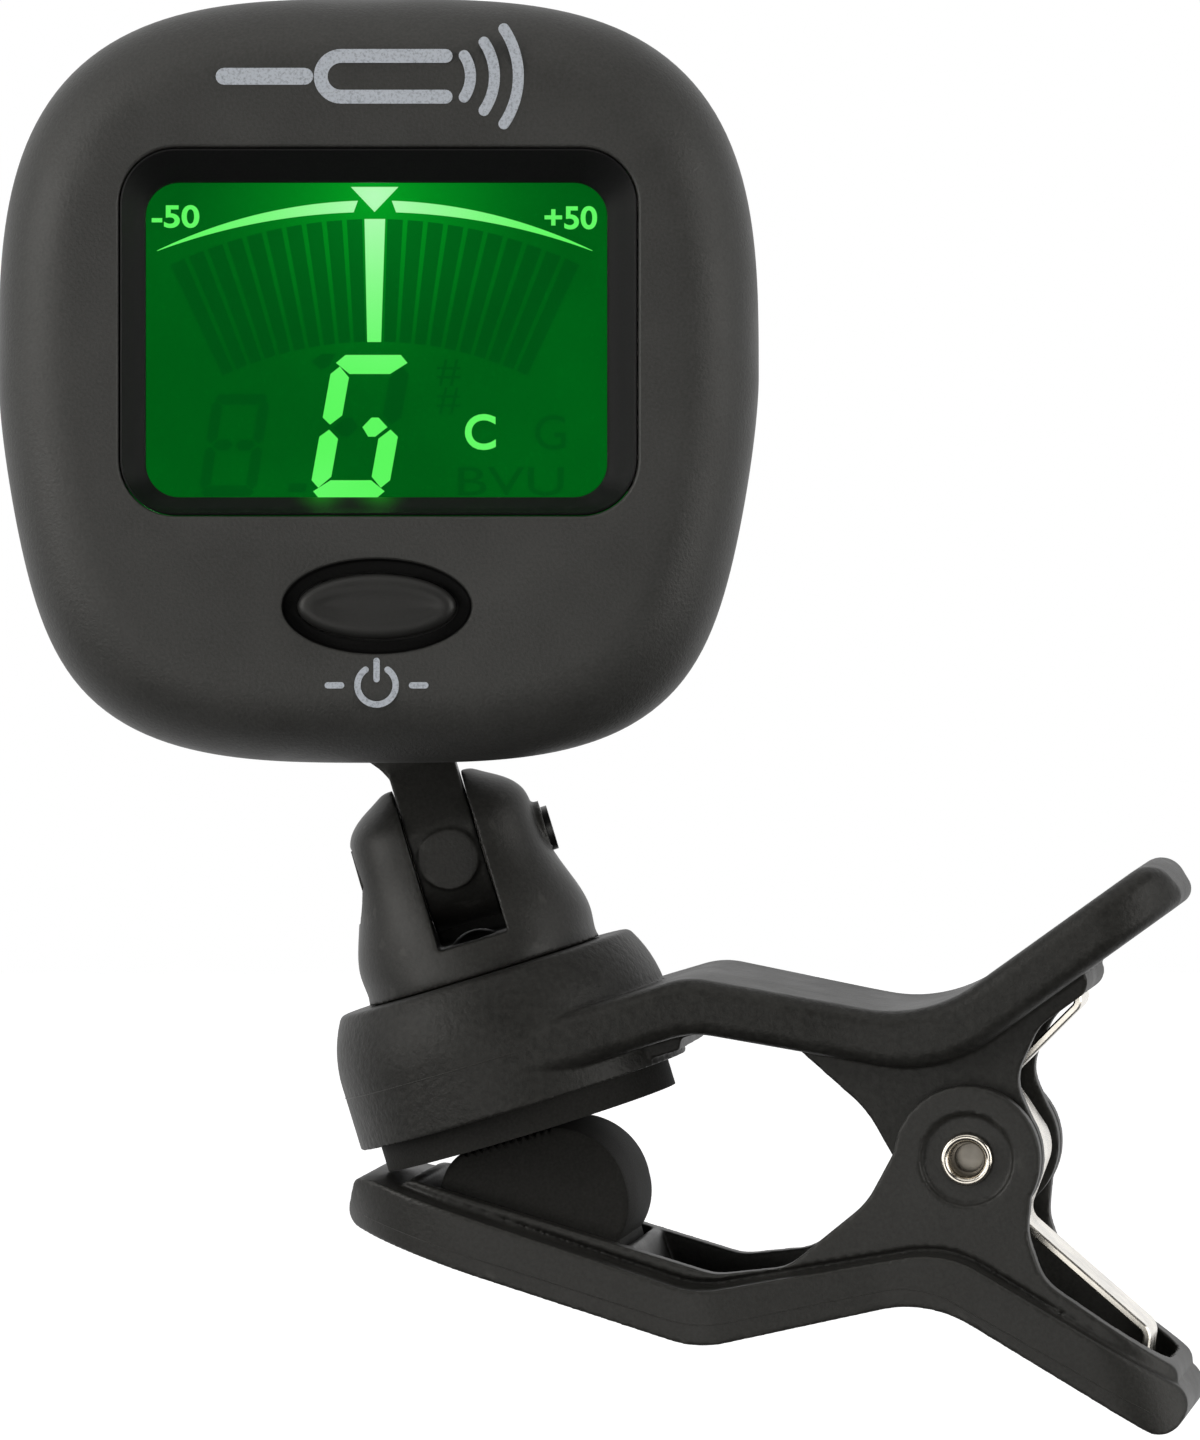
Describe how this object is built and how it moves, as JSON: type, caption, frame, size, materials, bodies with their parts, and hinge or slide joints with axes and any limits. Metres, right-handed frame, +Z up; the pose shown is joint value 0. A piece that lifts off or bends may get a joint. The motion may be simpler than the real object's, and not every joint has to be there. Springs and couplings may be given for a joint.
{
  "type": "clip-on tuner",
  "caption": "Clip-on instrument tuner: pillow-shaped lit display head on a turning stem, tilting fork, swivel base and a sprung two-jaw clip with rubber pads.",
  "frame": {"origin": "middle of the upper pad's grip face, where the clip bears on a headstock", "axes": "+Z up the display, +X to the reader's right where the clip's handles are, +Y away from the reader"},
  "size_m": [0.0693, 0.0245, 0.0817],
  "materials": {
    "matte_shell": "fine spark texture",
    "dark_bezel": "smooth satin",
    "clip_plastic": "moulded satin",
    "rubber_pad": "matte",
    "rubber_button": "matte",
    "clear_lens": "clear",
    "lcd": "lit green",
    "white_plastic": "satin",
    "elastomer": "matte",
    "board": "solder mask",
    "black_epoxy": "matte",
    "zinc_steel": "satin",
    "nickel": "polished",
    "spring_steel": "polished strip",
    "brass": "satin",
    "washer_nylon": "satin"
  },
  "bodies": {
    "clip_upper": {"upper_jaw": "clip_plastic", "upper_pad": "rubber_pad", "swivel_screw": "zinc_steel", "swivel_washer": "washer_nylon", "pivot_rivet": "nickel", "rivet_core": "nickel", "clip_spring": "spring_steel"},
    "clip_lower": {"lower_jaw": "clip_plastic", "lower_pad": "rubber_pad"},
    "yoke": {"swivel_yoke": "clip_plastic", "hinge_screw": "zinc_steel", "hinge_nut": "zinc_steel", "hinge_washers": "washer_nylon"},
    "stem": {"pivot_stem": "clip_plastic"},
    "head": {"front_housing": "matte_shell", "display_bezel": "dark_bezel", "display_lens": "clear_lens", "lcd_glass": "lcd", "lcd_frame": "white_plastic", "backlight_panel": "white_plastic", "zebra_connector": "elastomer", "circuit_board": "board", "controller_chip": "black_epoxy", "tact_switch": "black_epoxy", "rear_housing": "matte_shell", "housing_screws": "zinc_steel", "coin_cell": "nickel", "positive_contact": "spring_steel", "negative_contact": "spring_steel", "piezo_sensor": "brass", "pivot_screw": "zinc_steel", "pivot_washer": "zinc_steel"},
    "button": {"power_button": "rubber_button"},
    "door": {"battery_door": "matte_shell"}
  },
  "joints": [
    {"name": "jaw_hinge", "type": "hinge", "parent": "clip_upper", "child": "clip_lower", "pos_m": [0.02576, -0.00407, -0.00112], "axis": [-0.1578, -0.9863, -0.0483], "range_deg": [0, 34], "stiffness_Nm_per_rad": 0.1, "springref_deg": -51.57, "deforming": ["clip_spring"]},
    {"name": "base_swivel", "type": "hinge", "parent": "clip_upper", "child": "yoke", "pos_m": [0, 0, 0], "axis": [-0.2924, 0, 0.9563], "continuous": true},
    {"name": "yoke_tilt", "type": "hinge", "parent": "yoke", "child": "stem", "pos_m": [-0.00477, 0, 0.01559], "axis": [0.9563, 0, 0.2924], "range_deg": [-75, 40]},
    {"name": "head_turn", "type": "hinge", "parent": "stem", "child": "head", "pos_m": [-0.00865, 0, 0.02831], "axis": [0, 1, 0], "range_deg": [-52, 18]},
    {"name": "button_press", "type": "slide", "parent": "head", "child": "button", "axis": [0, 1, 0], "range_m": [0, 0.0004], "stiffness_N_per_m": 600, "springref_m": -0.0003},
    {"name": "door_lift", "type": "slide", "parent": "head", "child": "door", "axis": [0, 1, 0], "range_m": [0, 0.008]}
  ]
}
